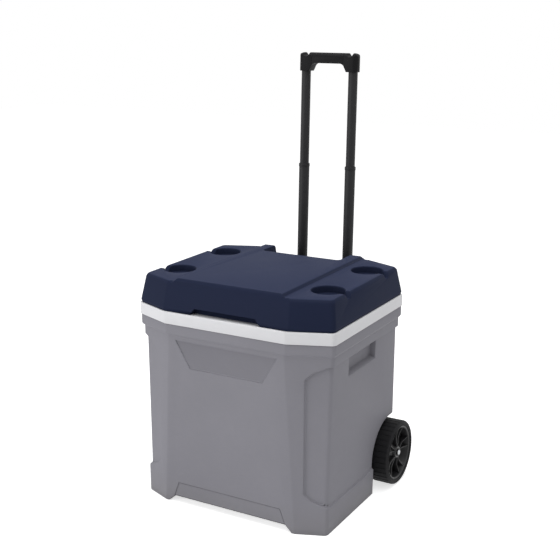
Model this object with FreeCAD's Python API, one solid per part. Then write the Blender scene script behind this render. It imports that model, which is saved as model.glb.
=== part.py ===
import FreeCAD, Part
import math
import os

from FreeCAD import Vector

# A wheeled picnic cooler with a lid hinged at the back, a two-stage pull handle and two wheels.
# Millimetres. X is the width, Y the depth with the handle at +Y, Z is up.
# The origin is on the ground, under the middle of the whole object. The pieces are drawn about the
# middle of the rim first, and moved forward together at the end.

# ---- driving dimensions: body -------------------------------------------------------------
RIM_HALF_WIDTH = 249.0
RIM_HALF_DEPTH = 214.5
RIM_TOP = 460.0
RIM_BAND = 27.0            # height of the white band between body and lid
RIM_CORNER = 97.0          # length, along X, of the slanted corner of the eight-sided plan
CORNER_SLOPE = 0.40        # depth of that corner for each millimetre of its length
CORNER_RADIUS = 12.0
FLANGE_INSET = 1.5         # the grey flange stands this far inside the white band
FLANGE_HEIGHT = 23.0
FLANGE_STEP = 4.5          # step from the flange in to the wall below
FOOT_INSET = 13.0          # the walls lean in by this much from rim to ground, on the sides
FOOT_INSET_FRONT = 9.7     # and on the front
FOOT_CORNER = 66.0
SHELL_WALL = 3.5
LINER_WALL = 3.0
FOAM_BY_WELL = 12.0
MOUTH_INSET = 36.0         # rim to mouth of the tub
TUB_DRAFT = 11.0
TUB_ABOVE_AXLE = 15.0      # underside of the tub above the axis of the wheels
TUB_CORNER = 58.0
TUB_RADIUS = 34.0

# ---- driving dimensions: relief on the body ----------------------------------------------
PANEL_RECESS = 4.5
PANEL_EDGE_IN = 62.5       # rim to where the sunk side panel starts on the slanted corner
PANEL_BOTTOM = 64.0
PANEL_DROP = 22.0          # top of the wall to the top of the sunk panel
PANEL_CORNER = 30.0
POCKET_CENTRE_Y = -17.0
POCKET_LENGTH = 137.0
POCKET_HEIGHT = 47.0
POCKET_DEPTH = 16.0
POCKET_ROOF = 40.0         # height of the upright back of the pocket, above its ramp
BADGE_DROP = 9.5           # top of the wall to the blank panel on the front
BADGE_HEIGHT = 61.0
BADGE_HALF_TOP = 129.0
BADGE_HALF_BOTTOM = 92.0
BADGE_DEPTH = 3.0
KICK_TOP = 51.0
KICK_HALF_TOP = 133.0
KICK_HALF_BOTTOM = 152.0
KICK_DEPTH = 2.0
SOLE_RISE = 16.0           # the sole stands this high between the two foot rails
SOLE_HALF_WIDTH = 146.0

# ---- driving dimensions: wheels and axle ---------------------------------------------------
WHEEL_RADIUS = 77.0
WHEEL_WIDTH = 52.0
WHEEL_OUT = 16.0           # the wheels' outer faces stand this far outside the rim
WHEEL_FROM_BACK = 70.5     # back of the rim to the axle
RIM_RADIUS = 64.0
TYRE_SHOULDER = 3.0
SPOKES = 10
SPOKE_THICK = 2.4
SPOKE_SETBACK = 5.0
WEB_THICK = 3.0
HUB_RADIUS = 14.0
AXLE_RADIUS = 6.0
BUSH_WALL = 2.5
WELL_GAP = 11.0            # tyre to wheel well
WELL_SIDE_GAP = 10.0
REAR_SOLE = 62.0           # underside of the body behind the foot rails
CAP_RADIUS = 9.0
CAP_THICK = 3.0

# ---- driving dimensions: lid ---------------------------------------------------------------
LID_INSET = 1.0            # rim to lid, on the sides
LID_INSET_FRONT = 2.5      # and on the front and back
LID_HEIGHT = 66.5          # underside of the lid to its cup decks
LID_LEAN = 10.0            # the lid walls lean in by this much on the sides
LID_LEAN_FRONT = 16.5      # and on the front and back
LID_CORNER = 90.0          # slanted corner of the lid at its foot
LID_TOP_CORNER = 83.0
LID_EDGE = 6.0             # slanted edge round the top and the bottom of the lid
LID_WALL = 3.0
DECK_RISE = 7.0            # the middle of the lid stands above the cup decks
DECK_WIDTH = 118.0         # side of the rim to the raised middle of the lid
DECK_SLOPE = 7.5
NOTCH_HALF_WIDTH = 103.5
NOTCH_LENGTH = 84.5        # back of the rim to the front of the handle notch
NOTCH_RISE = 25.7          # underside of the lid to the floor of the notch
NOTCH_RADIUS = 10.0
CUP_RADIUS = 36.5
CUP_DEPTH = 16.0
CUP_FROM_SIDE = 58.5
CUP_FROM_FRONT = 119.5
CUP_FROM_BACK = 115.5
DRAIN_CHANNEL_DEPTH = 13.0
DRAIN_CHANNEL_TOP = 26.0
DRAIN_CHANNEL_BOTTOM = 10.0
FINGER_TOP = 15.0
FINGER_HALF_TOP = 77.0
FINGER_HALF_BOTTOM = 90.0
FINGER_DEPTH = 18.0
PLUG_DROP = 10.0
PLUG_GAP = 3.0

# ---- driving dimensions: pull handle -------------------------------------------------------
HANDLE_LEAN = 2.17         # degrees, backwards
TUBE_X = 62.9
TUBE_BEHIND = 41.8         # axis of the tubes behind the rim, at the mouth of the housing
LOWER_TUBE_RADIUS = 12.7
UPPER_TUBE_RADIUS = 11.1
TUBE_WALL = 1.2
HOUSING_DROP = 8.0         # top of the rim to the mouth of the housing
HOUSING_BOTTOM = 84.0
HOUSING_HALF_WIDTH = 92.0
HOUSING_WALL = 3.5
HOUSING_CHAMFER = 26.0
HOUSING_TAB = 18.0
TAB_THICK = 3.0
COLLAR_FLANGE = 4.0
COLLAR_DEPTH = 26.0
COLLAR_WALL = 3.5
COLLAR_LIP = 2.5
STAGE_SHARE = 0.5536       # share of the pulled-out handle that is lower tube
STAGE_COLLAR = 7.0
STAGE_COLLAR_WALL = 0.7
GRIP_HEIGHT = 44.0
GRIP_TOP = 1000.0
GRIP_HALF_WIDTH = 78.0
GRIP_DEPTH = 28.0
GRIP_BAR = 25.0
GRIP_FLARE = 9.0           # the brackets widen by this much from foot to hand bar
GRIP_GROOVE = 7.0          # radius of the round groove across the top of each bracket
GRIP_GROOVE_DEPTH = 9.5
TUBE_HEAD = 13.0           # top of the grip to the top end of its tubes
GRIP_ROUND = 12.0          # corners of the grip seen from the front
GRIP_PLAN_ROUND = 13.0      # its ends seen from above
GRIP_CROWN = 12.0          # its top seen from the side
BRACKET_WIDTH = 28.5
SEAM_X = 42.0
TUBE_OVERLAP = 62.0
YOKE_HEIGHT = 14.0
YOKE_SOCKET = 3.0
YOKE_SCREW = 4.0           # length of the screws that pin the lower tubes to the yoke
BRACKET_SCREW = 12.0       # length of the screws through the brackets into the upper tubes
BAR_SCREW = 25.0           # length of the screws that close the hand bar

# ---- driving dimensions: hinge, drain and screws -------------------------------------------
HINGE_X = 126.0
HINGE_WIDTH = 40.0
KNUCKLE_RADIUS = 4.5
PIN_RADIUS = 2.0
LEAF_THICK = 2.5
LEAF_HEIGHT = 22.0
HINGE_RISE = 2.0           # hinge axis above the rim
SCREW_RADIUS = 1.9
SCREW_HEAD = 3.9
SCREW_HEAD_HEIGHT = 2.0
SCREW_LENGTH = 13.0
COUNTERBORE = 2.5          # the grip's screw heads are sunk this deep
DRAIN_Y = -60.0
DRAIN_ABOVE_FLOOR = 16.0   # axis of the drain above the underside of the tub
DRAIN_BORE = 6.5
DRAIN_WALL = 2.5
DRAIN_FLANGE = 19.0
DRAIN_CAP_RADIUS = 15.0
DRAIN_CAP_LENGTH = 14.0

# ---- clearances ----------------------------------------------------------------------------
SEAT_GAP = 0.3             # between faces of two bodies that rest on each other
SLIDE_GAP = 0.3            # round each sliding tube
RUN_FIT = 0.1              # a shaft in its hole, on the radius
HOLE_GAP = 0.1             # a screw in its hole, on the radius
REST_GAP = 1.0             # left when the handle is pushed home
BIG = 600.0                # longer than anything on the object

# ---- worked out ----------------------------------------------------------------------------
BAND_BOTTOM = RIM_TOP - RIM_BAND
FLANGE_BOTTOM = BAND_BOTTOM - FLANGE_HEIGHT
WALL_TOP = FLANGE_BOTTOM - FLANGE_STEP
FLANGE_HALF_WIDTH = RIM_HALF_WIDTH - FLANGE_INSET
FLANGE_HALF_DEPTH = RIM_HALF_DEPTH - FLANGE_INSET
WALL_HALF_WIDTH = FLANGE_HALF_WIDTH - FLANGE_STEP
WALL_HALF_DEPTH = FLANGE_HALF_DEPTH - FLANGE_STEP
FOOT_HALF_WIDTH = RIM_HALF_WIDTH - FOOT_INSET
FOOT_HALF_DEPTH = RIM_HALF_DEPTH - FOOT_INSET_FRONT
MOUTH_HALF_WIDTH = RIM_HALF_WIDTH - MOUTH_INSET
MOUTH_HALF_DEPTH = RIM_HALF_DEPTH - MOUTH_INSET
WHEEL_Z = WHEEL_RADIUS
WELL_RADIUS = WHEEL_RADIUS + WELL_GAP
TUB_FLOOR = WHEEL_RADIUS + TUB_ABOVE_AXLE
DRAIN_Z = TUB_FLOOR + DRAIN_ABOVE_FLOOR
WHEEL_FACE_X = RIM_HALF_WIDTH + WHEEL_OUT
WHEEL_Y = RIM_HALF_DEPTH - WHEEL_FROM_BACK
WELL_X = WHEEL_FACE_X - WHEEL_WIDTH - WELL_SIDE_GAP
PANEL_EDGE_X = RIM_HALF_WIDTH - PANEL_EDGE_IN
PANEL_TOP = WALL_TOP - PANEL_DROP
POCKET_BOTTOM = PANEL_TOP - POCKET_HEIGHT
BADGE_TOP = WALL_TOP - BADGE_DROP
BADGE_BOTTOM = BADGE_TOP - BADGE_HEIGHT
DECK_HALF_WIDTH = RIM_HALF_WIDTH - DECK_WIDTH
NOTCH_FRONT = RIM_HALF_DEPTH - NOTCH_LENGTH
CUP_X = RIM_HALF_WIDTH - CUP_FROM_SIDE
CUP_FRONT_Y = CUP_FROM_FRONT - RIM_HALF_DEPTH
CUP_REAR_Y = RIM_HALF_DEPTH - CUP_FROM_BACK
TUBE_Y = RIM_HALF_DEPTH + TUBE_BEHIND
HOUSING_TOP = RIM_TOP - HOUSING_DROP
GRIP_BOTTOM = GRIP_TOP - GRIP_HEIGHT
STAGE_TOP = HOUSING_TOP + STAGE_SHARE * (GRIP_BOTTOM - HOUSING_TOP)
LID_BOTTOM = RIM_TOP + SEAT_GAP
NOTCH_FLOOR = LID_BOTTOM + NOTCH_RISE
DECK_Z = LID_BOTTOM + LID_HEIGHT
PANEL_Z = DECK_Z + DECK_RISE
HINGE_Y = RIM_HALF_DEPTH + SEAT_GAP + LEAF_THICK / 5 + KNUCKLE_RADIUS
HINGE_Z = RIM_TOP + HINGE_RISE
COLLAR_TOP = HOUSING_TOP + COLLAR_FLANGE
STAGE_COLLAR_BOTTOM = STAGE_TOP - STAGE_COLLAR
LOWER_TUBE_BOTTOM = HOUSING_TOP - TUBE_OVERLAP
YOKE_BOTTOM = LOWER_TUBE_BOTTOM - YOKE_HEIGHT
LOWER_TRAVEL = min(STAGE_COLLAR_BOTTOM - COLLAR_TOP, YOKE_BOTTOM - HOUSING_BOTTOM - HOUSING_WALL) - REST_GAP
UPPER_TRAVEL = GRIP_BOTTOM - STAGE_TOP - STAGE_COLLAR_WALL - REST_GAP
COLLAR_RADIUS = LOWER_TUBE_RADIUS + SLIDE_GAP + COLLAR_WALL
UPPER_TUBE_BOTTOM = STAGE_TOP - TUBE_OVERLAP


def box(x0, x1, y0, y1, z0, z1):
    """A block given by its two corners."""
    return Part.makeBox(x1 - x0, y1 - y0, z1 - z0, Vector(x0, y0, z0))


def rod(radius, start, end):
    """A round bar between two points."""
    a, b = Vector(*start), Vector(*end)
    return Part.makeCylinder(radius, (b - a).Length, a, b - a)


def fuse(shapes):
    """One solid out of several that overlap or touch."""
    return shapes[0].fuse(shapes[1:]).removeSplitter()


def mirrored(shape):
    """The same shape on the other side of the middle plane X = 0."""
    return shape.mirror(Vector(0, 0, 0), Vector(1, 0, 0))


def rounded_edges(points, radius):
    """The edges of a closed outline with every corner rounded by the same radius: arc, line, arc..."""
    count = len(points)
    starts, middles, ends = [], [], []
    for i in range(count):
        corner = points[i]
        back = (points[i - 1] - corner).normalize()
        ahead = (points[(i + 1) % count] - corner).normalize()
        half_angle = back.getAngle(ahead) / 2
        reach = radius / math.tan(half_angle)
        inward = (back + ahead).normalize()
        starts.append(corner + back * reach)
        ends.append(corner + ahead * reach)
        middles.append(corner + inward * (radius / math.sin(half_angle) - radius))
    edges = []
    for i in range(count):
        edges.append(Part.Arc(starts[i], middles[i], ends[i]).toShape())
        edges.append(Part.LineSegment(ends[i], starts[(i + 1) % count]).toShape())
    return edges


def rounded_wire(points, radius):
    """A closed outline with every corner rounded by the same radius."""
    return Part.Wire(rounded_edges(points, radius))


def octagon(half_width, half_depth, corner, z, radius):
    """The eight-sided plan of the cooler at one height."""
    corner_y = corner * CORNER_SLOPE
    right = [(half_width, half_depth - corner_y), (half_width - corner, half_depth)]
    left = [(-x, y) for x, y in reversed(right)]
    back = right + left
    front = [(x, -y) for x, y in reversed(back)]
    return rounded_edges([Vector(x, y, z) for x, y in back + front], radius)


def stack(sections, radius):
    """A solid through several eight-sided sections, given as half width, half depth, corner, z."""
    outlines = [octagon(*section, radius) for section in sections]
    faces = [Part.Face(Part.Wire(outlines[0])), Part.Face(Part.Wire(outlines[-1]))]
    for below, above in zip(outlines, outlines[1:]):
        for low, high in zip(below, above):
            if isinstance(low.Curve, Part.Line):
                corners = [vertex.Point for vertex in low.Vertexes + high.Vertexes[::-1]]
                faces.append(Part.Face(Part.makePolygon(corners + corners[:1])))
            else:
                faces.append(Part.makeRuledSurface(low, high))
    shell = Part.makeShell(faces)
    shell.sewShape()
    solid = Part.makeSolid(shell)
    return solid if solid.Volume > 0 else solid.reversed()


def prism_y(points, y0, y1):
    """A flat outline in X and Z, drawn out along Y."""
    wire = Part.makePolygon([Vector(x, y0, z) for x, z in points + points[:1]])
    return Part.Face(wire).extrude(Vector(0, y1 - y0, 0))


def prism_x(points, x0, x1):
    """A flat outline in Y and Z, drawn out along X."""
    wire = Part.makePolygon([Vector(x0, y, z) for y, z in points + points[:1]])
    return Part.Face(wire).extrude(Vector(x1 - x0, 0, 0))


def leaned(shape):
    """Tips a part of the handle back, about the point where the tubes leave the housing."""
    shape = shape.copy()
    shape.rotate(Vector(0, TUBE_Y, HOUSING_TOP), Vector(1, 0, 0), -HANDLE_LEAN)
    return shape


def screw(head_point, direction, length=SCREW_LENGTH):
    """A pan-head screw. The head sits outside head_point and the shank runs along direction."""
    seat = Vector(*head_point)
    along = Vector(*direction).normalize()
    shank = Part.makeCylinder(SCREW_RADIUS, length, seat, along)
    head = Part.makeCylinder(SCREW_HEAD, SCREW_HEAD_HEIGHT, seat - along * SCREW_HEAD_HEIGHT, along)
    return shank.fuse(head).removeSplitter()


def screw_hole(head_point, direction, length=SCREW_LENGTH):
    """The hole that a screw's shank needs."""
    seat = Vector(*head_point)
    along = Vector(*direction).normalize()
    return Part.makeCylinder(SCREW_RADIUS + HOLE_GAP, length + HOLE_GAP, seat, along)


def wall_half_depth(z):
    """How far the front and back walls stand from the middle, at a height below the flange."""
    return FOOT_HALF_DEPTH + (WALL_HALF_DEPTH - FOOT_HALF_DEPTH) * z / WALL_TOP


def wall_half_width(z):
    """How far the side walls stand from the middle, at a height below the flange."""
    return FOOT_HALF_WIDTH + (WALL_HALF_WIDTH - FOOT_HALF_WIDTH) * z / WALL_TOP


def body_stack(grow=0.0, top=BAND_BOTTOM):
    """The outside of the body, or the same shape made bigger all round by grow."""
    return stack([
        (FOOT_HALF_WIDTH + grow, FOOT_HALF_DEPTH + grow, FOOT_CORNER, 0.0),
        (WALL_HALF_WIDTH + grow, WALL_HALF_DEPTH + grow, RIM_CORNER, WALL_TOP),
        (FLANGE_HALF_WIDTH + grow, FLANGE_HALF_DEPTH + grow, RIM_CORNER, FLANGE_BOTTOM),
        (FLANGE_HALF_WIDTH + grow, FLANGE_HALF_DEPTH + grow, RIM_CORNER, top)], CORNER_RADIUS)


def wheel_well(grow=0.0):
    """The hollow round the right wheel, open to the side, the back and the ground."""
    x0 = WELL_X - grow
    radius = WELL_RADIUS + grow
    round_part = rod(radius, (x0, WHEEL_Y, WHEEL_Z), (BIG, WHEEL_Y, WHEEL_Z))
    rear_part = box(x0, BIG, WHEEL_Y, BIG, -1.0, WHEEL_Z + radius)
    low_part = box(x0, BIG, WHEEL_Y - radius, BIG, -1.0, WHEEL_Z)
    return fuse([round_part, rear_part, low_part])


def rear_step(grow=0.0):
    """The raised underside behind the foot rails."""
    return box(-BIG, BIG, WHEEL_Y - WELL_RADIUS - grow, BIG, -1.0, REAR_SOLE + grow)


def axle_groove(grow=0.0):
    """The slot across the underside that the axle is pushed up into."""
    half = AXLE_RADIUS + SEAT_GAP + grow
    slot = box(-BIG, BIG, WHEEL_Y - half, WHEEL_Y + half, -1.0, WHEEL_Z)
    crown = rod(half, (-BIG, WHEEL_Y, WHEEL_Z), (BIG, WHEEL_Y, WHEEL_Z))
    return slot.fuse(crown)


def grip_pocket(grow=0.0):
    """The finger pocket in the right side, deep under the flange, with a ramp below."""
    face = wall_half_width(PANEL_TOP) - PANEL_RECESS
    back = face - POCKET_DEPTH - grow
    outline = [
        (face + BIG / 10, PANEL_TOP + grow), (back, PANEL_TOP + grow),
        (back, PANEL_TOP - POCKET_ROOF), (face, POCKET_BOTTOM - grow), (face + BIG / 10, POCKET_BOTTOM - grow)]
    half = POCKET_LENGTH / 2 + grow
    return prism_y(outline, POCKET_CENTRE_Y - half, POCKET_CENTRE_Y + half)


def side_panel():
    """What the sunk panel takes off the right side and off half of each slanted corner."""
    outline = [
        (PANEL_EDGE_X, PANEL_BOTTOM + PANEL_CORNER),
        (PANEL_EDGE_X + PANEL_CORNER / 2, PANEL_BOTTOM + PANEL_CORNER / 2),
        (FOOT_HALF_WIDTH, PANEL_BOTTOM), (BIG, PANEL_BOTTOM), (BIG, PANEL_TOP), (FOOT_HALF_WIDTH, PANEL_TOP),
        (PANEL_EDGE_X + PANEL_CORNER / 2, PANEL_TOP - PANEL_CORNER / 2), (PANEL_EDGE_X, PANEL_TOP - PANEL_CORNER)]
    return prism_y(outline, -BIG, BIG).cut(body_stack(-PANEL_RECESS))


def cavity():
    """The space inside the outer shell, that foam and liner fill."""
    inset = PANEL_RECESS + SHELL_WALL
    space = stack([
        (FOOT_HALF_WIDTH - inset, FOOT_HALF_DEPTH - inset, FOOT_CORNER, SOLE_RISE + SHELL_WALL),
        (WALL_HALF_WIDTH - inset, WALL_HALF_DEPTH - inset, RIM_CORNER, WALL_TOP),
        (WALL_HALF_WIDTH - inset, WALL_HALF_DEPTH - inset, RIM_CORNER, BAND_BOTTOM)], CORNER_RADIUS)
    well = wheel_well(SHELL_WALL)
    pocket = grip_pocket(SHELL_WALL)
    keep_out = [well, mirrored(well), pocket, mirrored(pocket), rear_step(SHELL_WALL), axle_groove(SHELL_WALL)]
    return space.cut(keep_out)


def tub(grow=0.0):
    """The inside of the liner, or its outside with grow set to the wall."""
    well_grow = SHELL_WALL + FOAM_BY_WELL + LINER_WALL - grow
    x0 = WELL_X - well_grow
    y0 = WHEEL_Y - WELL_RADIUS - well_grow
    z1 = WHEEL_Z + WELL_RADIUS + well_grow
    bump = box(x0, BIG, y0, BIG, -1.0, z1)
    inside = stack([
        (MOUTH_HALF_WIDTH - TUB_DRAFT + grow, MOUTH_HALF_DEPTH - TUB_DRAFT + grow, TUB_CORNER, TUB_FLOOR - grow),
        (MOUTH_HALF_WIDTH + grow, MOUTH_HALF_DEPTH + grow, TUB_CORNER, RIM_TOP)], TUB_RADIUS)
    return inside.cut([bump, mirrored(bump)])


def rim_band(inset=0.0, top=RIM_TOP):
    """The white band under the lid, as a full block."""
    section = (RIM_HALF_WIDTH - inset, RIM_HALF_DEPTH - inset, RIM_CORNER)
    return stack([section + (BAND_BOTTOM,), section + (top,)], CORNER_RADIUS)


def lid_section(inset, z):
    """The plan of the lid's leaning walls at one height, inset from the outside."""
    share = (z - LID_BOTTOM) / LID_HEIGHT
    return (RIM_HALF_WIDTH - LID_INSET - LID_LEAN * share - inset,
            RIM_HALF_DEPTH - LID_INSET_FRONT - LID_LEAN_FRONT * share - inset,
            LID_CORNER + (LID_TOP_CORNER - LID_CORNER) * share, z)


def lid_walls(top):
    """The lid as a plain block up to a height, with slanted edges at foot and top."""
    return stack([
        lid_section(LID_EDGE / 2, LID_BOTTOM), lid_section(0.0, LID_BOTTOM + LID_EDGE),
        lid_section(0.0, top - LID_EDGE), lid_section(LID_EDGE / 2, top)], CORNER_RADIUS)


def lid_block():
    """The outside of the lid with its cup decks and middle panel."""
    rise = DECK_RISE + LID_EDGE
    slope = DECK_SLOPE * rise / DECK_RISE
    outline = [
        (-DECK_HALF_WIDTH - slope, PANEL_Z - rise), (DECK_HALF_WIDTH + slope, PANEL_Z - rise),
        (DECK_HALF_WIDTH, PANEL_Z), (-DECK_HALF_WIDTH, PANEL_Z)]
    panel = lid_walls(PANEL_Z).common(prism_y(outline, -BIG, BIG))
    return fuse([lid_walls(DECK_Z), panel])


def handle_notch(grow=0.0):
    """The notch in the back of the lid that clears the handle when the lid swings up."""
    x1 = NOTCH_HALF_WIDTH + grow
    y0 = NOTCH_FRONT - grow
    corners = [Vector(-x1, y0, 0), Vector(x1, y0, 0), Vector(x1, BIG, 0), Vector(-x1, BIG, 0)]
    wire = rounded_wire(corners, NOTCH_RADIUS + grow)
    wire.translate(Vector(0, 0, NOTCH_FLOOR - grow))
    return Part.Face(wire).extrude(Vector(0, 0, BIG))


def finger_notch(grow=0.0):
    """The lifting notch under the front edge of the lid."""
    front = RIM_HALF_DEPTH - LID_INSET_FRONT
    outline = [
        (-FINGER_HALF_BOTTOM - grow, LID_BOTTOM - 1.0), (FINGER_HALF_BOTTOM + grow, LID_BOTTOM - 1.0),
        (FINGER_HALF_TOP + grow, LID_BOTTOM + FINGER_TOP + grow),
        (-FINGER_HALF_TOP - grow, LID_BOTTOM + FINGER_TOP + grow)]
    return prism_y(outline, -BIG, -(front - FINGER_DEPTH) + grow)


def cup_holder(y, grow=0.0):
    """One round cup holder on the right deck with the channel that drains it over the side."""
    cup = rod(CUP_RADIUS + grow, (CUP_X, y, DECK_Z - CUP_DEPTH - grow), (CUP_X, y, DECK_Z + BIG / 10))
    half_top = DRAIN_CHANNEL_TOP / 2 + grow
    half_bottom = DRAIN_CHANNEL_BOTTOM / 2 + grow
    floor = DECK_Z - DRAIN_CHANNEL_DEPTH - grow
    rim = DECK_Z + 0.01
    channel = prism_x([(y - half_bottom, floor), (y + half_bottom, floor), (y + half_top, rim), (y - half_top, rim)],
                      CUP_X, RIM_HALF_WIDTH)
    return cup.fuse(channel)


def cup_holders(grow=0.0):
    """All four cup holders."""
    right = [cup_holder(y, grow) for y in (CUP_FRONT_Y, CUP_REAR_Y)]
    return right + [mirrored(holder) for holder in right]


def lid_cavity():
    """The space inside the lid shell, under its skin."""
    foot = lid_section(LID_WALL, LID_BOTTOM - 1.0)
    top = lid_section(LID_WALL + LID_EDGE / 2, DECK_Z - LID_WALL)
    space = stack([foot, top], CORNER_RADIUS)
    return space.cut([handle_notch(LID_WALL), finger_notch(LID_WALL)] + cup_holders(LID_WALL))


def plug_section(inset, z):
    """The plan of the shallow tray under the lid that drops into the mouth of the tub."""
    return (MOUTH_HALF_WIDTH - PLUG_GAP - inset, MOUTH_HALF_DEPTH - PLUG_GAP - inset, TUB_CORNER, z)


def hinge_screw_seats():
    """Head points of the screws in the body leaves, on the rim band."""
    z = RIM_TOP - LEAF_HEIGHT / 2 - 2.0
    y = RIM_HALF_DEPTH + LEAF_THICK
    return [(side * HINGE_X + dx, y, z) for side in (-1, 1) for dx in (-HINGE_WIDTH / 3, HINGE_WIDTH / 3)]


def lid_wall_frame():
    """A point on the foot of the lid's back wall, the way up the wall, and the way out of it."""
    foot = Vector(0, RIM_HALF_DEPTH - LID_INSET_FRONT, LID_BOTTOM)
    up = Vector(0, -LID_LEAN_FRONT, LID_HEIGHT).normalize()
    out = Vector(0, LID_HEIGHT, LID_LEAN_FRONT).normalize()
    return foot, up, out


def lid_screw_seats():
    """Head points of the screws in the lid leaves, and their direction."""
    foot, up, out = lid_wall_frame()
    seats = []
    for side in (-1, 1):
        for dx in (-HINGE_WIDTH / 3, HINGE_WIDTH / 3):
            point = foot + up * (LID_EDGE + LEAF_HEIGHT / 2) + out * LEAF_THICK
            seats.append((point.x + side * HINGE_X + dx, point.y, point.z))
    return seats, (-out.x, -out.y, -out.z)


def housing_screw_seats():
    """Head points of the screws through the tabs of the handle housing."""
    x = HOUSING_HALF_WIDTH + HOUSING_TAB / 2
    heights = [HOUSING_BOTTOM + 40.0, (HOUSING_BOTTOM + WALL_TOP) / 2, WALL_TOP - 43.0]
    lean = (WALL_HALF_DEPTH - FOOT_HALF_DEPTH) / WALL_TOP * SCREW_HEAD
    return [(side * x, wall_half_depth(z) + TAB_THICK + lean, z) for side in (-1, 1) for z in heights]


def clip_screw_seats():
    """Head points of the screws that hold the axle clips up under the body."""
    reach = AXLE_RADIUS + 13.0
    return [(side * HINGE_X, WHEEL_Y + dy, REAR_SOLE - TAB_THICK) for side in (-1, 1) for dy in (-reach, reach)]


def head_hole(head_point):
    """The counterbore for a sunk screw head in the back of the grip."""
    return rod(SCREW_HEAD + SEAT_GAP, head_point, (head_point[0], head_point[1] + BIG, head_point[2]))


def drilled(shape, seats, direction, length=SCREW_LENGTH):
    """The shape with a hole for each screw."""
    for seat in seats:
        shape = shape.cut(screw_hole(seat, direction, length))
    return shape


DRAIN_FACE = wall_half_width(DRAIN_Z) - PANEL_RECESS
DRAIN_PIPE = DRAIN_BORE + DRAIN_WALL
DRAIN_INSIDE = MOUTH_HALF_WIDTH - TUB_DRAFT


def drain_hole():
    """The hole for the drain fitting through shell, foam and liner, on the left side."""
    radius = DRAIN_PIPE + HOLE_GAP
    return rod(radius, (-BIG, DRAIN_Y, DRAIN_Z), (-DRAIN_INSIDE + 30.0, DRAIN_Y, DRAIN_Z))


def drain_facing(x, radius):
    """A flat round seat for the drain flange, cut into the leaning wall."""
    return rod(radius, (-BIG, DRAIN_Y, DRAIN_Z), (-x, DRAIN_Y, DRAIN_Z))


# ---- body ----------------------------------------------------------------------------------
def outer_shell():
    """The grey outer shell: one deep moulding with foot rails, wheel wells and sunk panels."""
    panel = side_panel()
    pocket = grip_pocket()
    well = wheel_well()
    badge_y = -(wall_half_depth((BADGE_BOTTOM + BADGE_TOP) / 2) - BADGE_DEPTH)
    badge = prism_y([(-BADGE_HALF_BOTTOM, BADGE_BOTTOM), (BADGE_HALF_BOTTOM, BADGE_BOTTOM),
                     (BADGE_HALF_TOP, BADGE_TOP), (-BADGE_HALF_TOP, BADGE_TOP)], -BIG, badge_y)
    kick_y = -(wall_half_depth(KICK_TOP / 2) - KICK_DEPTH)
    kick = prism_y([(-KICK_HALF_BOTTOM, -1.0), (KICK_HALF_BOTTOM, -1.0),
                    (KICK_HALF_TOP, KICK_TOP), (-KICK_HALF_TOP, KICK_TOP)], -BIG, kick_y)
    sole = prism_y([(-SOLE_HALF_WIDTH - SOLE_RISE, 0.0), (SOLE_HALF_WIDTH + SOLE_RISE, 0.0),
                    (SOLE_HALF_WIDTH, SOLE_RISE), (-SOLE_HALF_WIDTH, SOLE_RISE)], -BIG, BIG)
    cuts = [panel, mirrored(panel), pocket, mirrored(pocket), well, mirrored(well), badge, kick, sole,
            rear_step(), axle_groove(), cavity(), drain_hole(), drain_facing(DRAIN_FACE, DRAIN_FLANGE + 1.0)]
    shell = body_stack().cut(cuts)
    shell = drilled(shell, housing_screw_seats(), (0, -1, 0))
    return drilled(shell, clip_screw_seats(), (0, 0, 1))


def liner_block():
    """The liner with its rim, before the tub is hollowed."""
    return fuse([rim_band(), tub(LINER_WALL)])


def inner_liner():
    """The white liner: tub, flat rim and the band that shows under the lid."""
    hollow = rim_band(LINER_WALL, RIM_TOP - LINER_WALL).cut(tub(LINER_WALL))
    liner = liner_block().cut([tub(), hollow, drain_hole()])
    return drilled(liner, hinge_screw_seats(), (0, -1, 0))


def foam_core():
    """The rigid foam between shell and liner."""
    space = fuse([cavity(), rim_band(LINER_WALL, RIM_TOP - LINER_WALL)])
    foam = space.cut([tub(LINER_WALL), drain_hole()])
    foam = drilled(foam, hinge_screw_seats(), (0, -1, 0))
    foam = drilled(foam, housing_screw_seats(), (0, -1, 0))
    return drilled(foam, clip_screw_seats(), (0, 0, 1))


# ---- lid -----------------------------------------------------------------------------------
def lid_shell():
    """The blue lid moulding."""
    seats, into = lid_screw_seats()
    shell = lid_block().cut([handle_notch(), finger_notch(), lid_cavity()] + cup_holders())
    return drilled(shell, seats, into)


def lid_liner():
    """The white inner panel of the lid, with the tray that drops into the tub."""
    inset = LID_WALL + SEAT_GAP
    plate = stack([lid_section(inset, LID_BOTTOM), lid_section(inset, LID_BOTTOM + LINER_WALL)], CORNER_RADIUS)
    plate = plate.cut(finger_notch(inset))
    tray = stack([plug_section(PLUG_DROP / 4, LID_BOTTOM - PLUG_DROP), plug_section(0.0, LID_BOTTOM + LINER_WALL)],
                 TUB_RADIUS)
    return fuse([plate, tray]).cut(plug_hollow())


def plug_hollow():
    """The inside of the tray under the lid."""
    inset = LINER_WALL + PLUG_DROP / 4
    return stack([plug_section(inset, LID_BOTTOM - PLUG_DROP + LINER_WALL),
                  plug_section(inset, LID_BOTTOM + LINER_WALL)], TUB_RADIUS)


def lid_foam():
    """The foam in the lid, above its liner."""
    seats, into = lid_screw_seats()
    above = lid_cavity().common(box(-BIG, BIG, -BIG, BIG, LID_BOTTOM + LINER_WALL, BIG * 2))
    return drilled(fuse([above, plug_hollow()]), seats, into)


# ---- hinge ---------------------------------------------------------------------------------
def knuckle(x, x0, x1):
    """One barrel of a hinge centred on x, from x0 to x1 along its pin."""
    return rod(KNUCKLE_RADIUS, (x + x0, HINGE_Y, HINGE_Z), (x + x1, HINGE_Y, HINGE_Z))


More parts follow.
